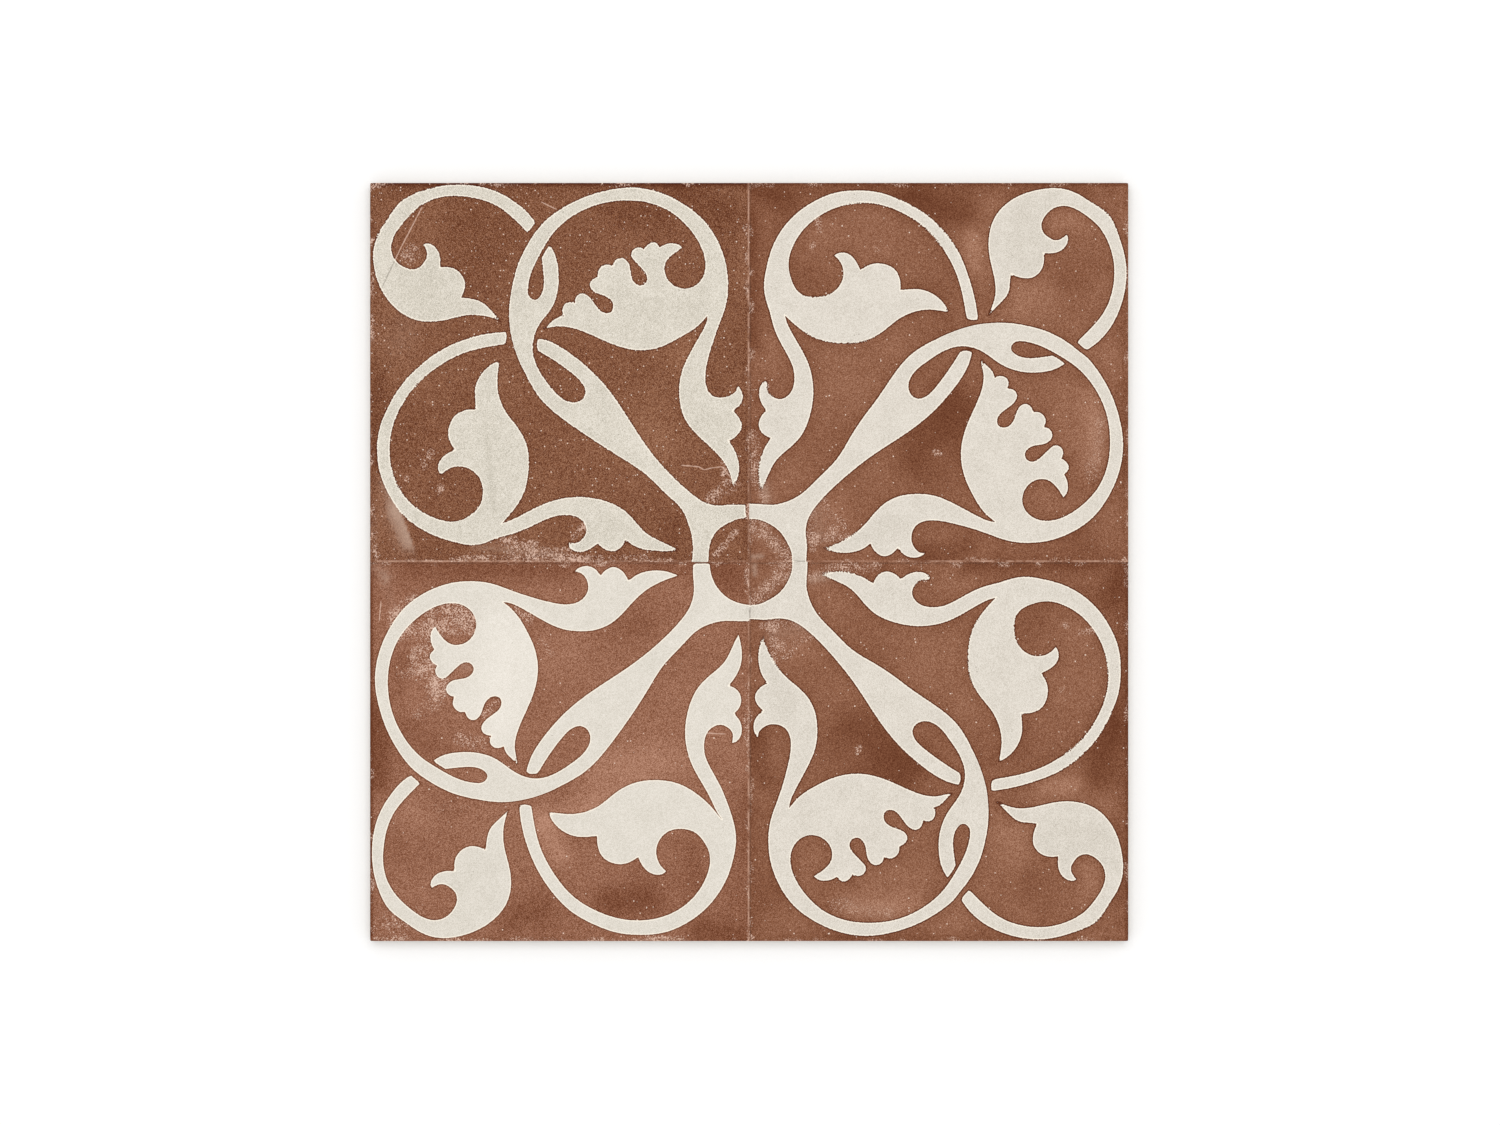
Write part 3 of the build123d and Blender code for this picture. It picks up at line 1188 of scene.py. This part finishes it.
    def _keys(self) -> tuple[np.ndarray, np.ndarray]:
        """Keyed back: a grid on the lines of the keys' mouths and floors.

        A point lies at the key's depth where both its lines bound a floor. The
        cell at each corner of a key is split along the slope between its walls.

        Returns:
            Places of the grid's lines, and the indices of its edge.
        """
        back_half = self.face_side / 2 - self.draft_inset
        pitch = (2 * (back_half - self.rim_width) + self.rib_crown) / self.keys_across
        mouth = (pitch - self.rib_crown) / 2
        floor = mouth - self.key_depth * math.tan(math.radians(self.key_draft))
        middles = (np.arange(self.keys_across) - (self.keys_across - 1) / 2) * pitch
        lines = (middles[:, None] + (-mouth, -floor, floor, mouth)).ravel()
        is_floor = np.tile([False, True, True, False], self.keys_across)
        count, first = len(lines), len(self.points)
        x, y = np.meshgrid(lines, lines)
        sunk = np.logical_and.outer(is_floor, is_floor)
        self.points = np.concatenate((self.points, np.stack(
            (x.ravel(), y.ravel(), np.where(sunk, self.key_depth, 0.0).ravel()), axis=1)))
        grid = first + np.arange(count * count).reshape(count, count)
        cells, deep = (np.stack((of[:-1, :-1], of[1:, :-1], of[1:, 1:], of[:-1, 1:]), axis=2)
                       for of in (grid, sunk))
        corner = deep.sum(2) == 1
        self._add(cells[~corner], False)
        # Turn each corner cell so that its floor point comes first, then split it from there
        order = (deep[corner].argmax(1)[:, None] + np.arange(4)) % 4
        turned = np.take_along_axis(cells[corner], order, axis=1)
        self._add(np.concatenate((turned[:, [0, 1, 2]], turned[:, [0, 2, 3]])), False)
        return lines, first + self._loop(count)

    def _rim(self, edge: np.ndarray, edge_lines: np.ndarray, inner: np.ndarray,
             inner_lines: np.ndarray) -> None:
        """Plain rim of the back: triangles from the lowest ring to the keyed grid.

        Both edges are measured by their share of the way round, one for each
        side, and each piece of one edge meets the nearest point of the other.

        Args:
            edge: Indices of the lowest ring.
            edge_lines: Places of the face's grid lines, which the ring follows.
            inner: Indices of the keyed grid's edge.
            inner_lines: Places of the keyed grid's lines.
        """
        outer_place, inner_place = (
            np.concatenate([(lines[:-1] / lines[-1] + 1) / 2 + side for side in range(4)])
            for lines in (edge_lines, inner_lines))
        outer_middle, inner_middle = (
            (place + np.append(place[1:], 4.0)) / 2 for place in (outer_place, inner_place))
        nearest = np.searchsorted(inner_middle, outer_middle) % len(inner)
        change = np.searchsorted(outer_middle, inner_middle, side="right") % len(edge)
        self._add(np.stack((edge, inner[nearest], np.roll(edge, -1)), axis=1), False)
        self._add(np.stack((inner, np.roll(inner, -1), edge[change]), axis=1), False)

    def _store(self, mesh: bpy.types.Mesh) -> None:
        """Write the print's depths and the wear onto the mesh's points.

        Each point is turned to the top right quarter, where the ornament is
        drawn, and read from its own quarter's original.

        Args:
            mesh: The finished mesh.
        """
        x, y = self.points[:, 0], self.points[:, 1]
        same = (x > 0) == (y > 0)
        turned = np.stack((np.where(same, abs(x), abs(y)), np.where(same, abs(y), abs(x))), axis=1)
        stored: dict[str, np.ndarray] = {}
        for quarter in Quarter:
            side_x, side_y, scan = quarter.value
            chosen = np.flatnonzero(((x > 0) == (side_x > 0)) & ((y > 0) == (side_y > 0)))
            original = ORIGINALS[scan]
            found = original.depths(turned[chosen]) | original.marks(turned[chosen])
            for name, numbers in found.items():
                stored.setdefault(name, np.zeros(len(x), np.float32))[chosen] = numbers
        for name, numbers in stored.items():
            mesh.attributes.new(name, "FLOAT", "POINT").data.foreach_set("value", numbers)

    def build(self) -> bpy.types.Object:
        """Make the tile's mesh and finish.

        Returns:
            The object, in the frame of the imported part.
        """
        lines = self._lines()
        edge = self._sides(lines, self._face(lines))
        key_lines, inner = self._keys()
        self._rim(edge, lines, inner, key_lines)
        mesh = bpy.data.meshes.new("tile_slab")
        mesh.vertices.add(len(self.points))
        mesh.vertices.foreach_set("co", (self.points * MM).astype(np.float32).ravel())
        sizes = np.concatenate([np.full(len(f), f.shape[1]) for f in self.corners])
        flat = np.concatenate([f.ravel() for f in self.corners])
        mesh.loops.add(len(flat))
        mesh.loops.foreach_set("vertex_index", flat.astype(np.int32))
        mesh.polygons.add(len(sizes))
        mesh.polygons.foreach_set("loop_start", (np.cumsum(sizes) - sizes).astype(np.int32))
        mesh.polygons.foreach_set("use_smooth", np.concatenate(self.smooth))
        mesh.update(calc_edges=True)
        mesh.validate()
        self._store(mesh)
        mesh.materials.append(PrintedFinish(self.face_side / 2, self.thickness - self.arris).material())
        slab = bpy.data.objects.new("tile_slab", mesh)
        bpy.context.scene.collection.objects.link(slab)
        return slab


@dataclass
class Studio:
    """White floor, even sky, one soft lamp and a camera straight above the face."""

    frame_width: float = 890.27  # width of the picture at the face
    camera_height: float = 3500.0  # camera above the face
    camera_off: Point = (0.47, -0.3)
    sensor_width: float = 36.0
    face_level: float = 10.0
    floor_half: float = 8000.0
    floor_level: float = -0.2
    floor_grey: float = 0.7  # the floor as it lights the tile
    floor_white: float = 1.05  # the floor as the camera sees it
    sky: float = 0.74
    lamp_share: float = 0.32  # the lamp's part of the light that shows a colour as it is written
    lamp_place: tuple[float, float, float] = (0.0, 1.0, 5.0)  # metres
    lamp_side: float = 4.0  # metres

    def floor(self) -> bpy.types.Object:
        """White floor that keeps the tile's shadow.

        Returns:
            The floor.
        """
        h, z = self.floor_half * MM, self.floor_level * MM
        mesh = bpy.data.meshes.new("floor")
        mesh.from_pydata([(-h, -h, z), (h, -h, z), (h, h, z), (-h, h, z)], [], [(0, 1, 2, 3)])
        white = bpy.data.materials.new("white_floor")
        board = Board(white)
        rays = board.node("ShaderNodeLightPath").outputs
        seen, shine, through = (Value(board, rays[f"Is {kind} Ray"])
                                for kind in ("Camera", "Glossy", "Transmission"))
        colour = board.mix(seen.most(shine).most(through), grey(self.floor_grey), grey(self.floor_white))
        shader = board.node("ShaderNodeBsdfDiffuse", {}, {"Color": colour})
        board.node("ShaderNodeOutputMaterial", {}, {"Surface": shader.outputs["BSDF"]})
        mesh.materials.append(white)
        plane = bpy.data.objects.new("floor", mesh)
        bpy.context.scene.collection.objects.link(plane)
        return plane

    def lamp(self) -> None:
        """Square soft lamp aimed at the middle of the face, with the power for its share."""
        x, y, z = self.lamp_place
        light = bpy.data.lights.new("key_lamp", "AREA")
        light.size = self.lamp_side
        light.energy = self.lamp_share * math.pi ** 2 * math.hypot(x, y, z) ** 3 / z
        lamp = bpy.data.objects.new("key_lamp", light)
        lamp.location = self.lamp_place
        lamp.rotation_euler = (math.atan2(math.hypot(x, y), z), 0.0, math.atan2(x, -y))
        bpy.context.scene.collection.objects.link(lamp)

    def world(self) -> None:
        """Even sky light, seen as white by the camera."""
        sky = bpy.data.worlds.new("sky")
        board = Board(sky)
        seen = board.node("ShaderNodeLightPath").outputs["Is Camera Ray"]
        dim, full = (board.node("ShaderNodeBackground", {}, {"Color": grey(1.0), "Strength": strength})
                     for strength in (self.sky, 1.0))
        blend = board.node("ShaderNodeMixShader", {}, {0: seen, 1: dim.outputs[0], 2: full.outputs[0]})
        board.node("ShaderNodeOutputWorld", {}, {"Surface": blend.outputs[0]})
        bpy.context.scene.world = sky

    def camera(self) -> None:
        """Long-lens camera that looks straight down at the face."""
        lens = bpy.data.cameras.new("camera")
        lens.sensor_width = self.sensor_width
        lens.lens = self.sensor_width * self.camera_height / self.frame_width
        view = bpy.data.objects.new("camera", lens)
        level = self.camera_height + self.face_level
        view.location = [place * MM for place in (*self.camera_off, level)]
        bpy.context.scene.collection.objects.link(view)
        bpy.context.scene.camera = view

    def build(self) -> None:
        """Set up the floor, the light and the camera."""
        bpy.context.scene.view_settings.view_transform = "Standard"
        self.floor()
        self.world()
        self.lamp()
        self.camera()


def main() -> None:
    """Build the tile and its studio, and report each piece."""
    logging.basicConfig(level=logging.INFO, format="%(name)s: %(message)s")
    slab = TileSlab().build()
    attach(slab, "root")
    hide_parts("tile")
    LOG.info("%s: %d points, %d faces", slab.name, len(slab.data.vertices), len(slab.data.polygons))
    Studio().build()
    LOG.info("studio: floor, lamp, sky and camera")


if __name__ == "__main__":
    main()
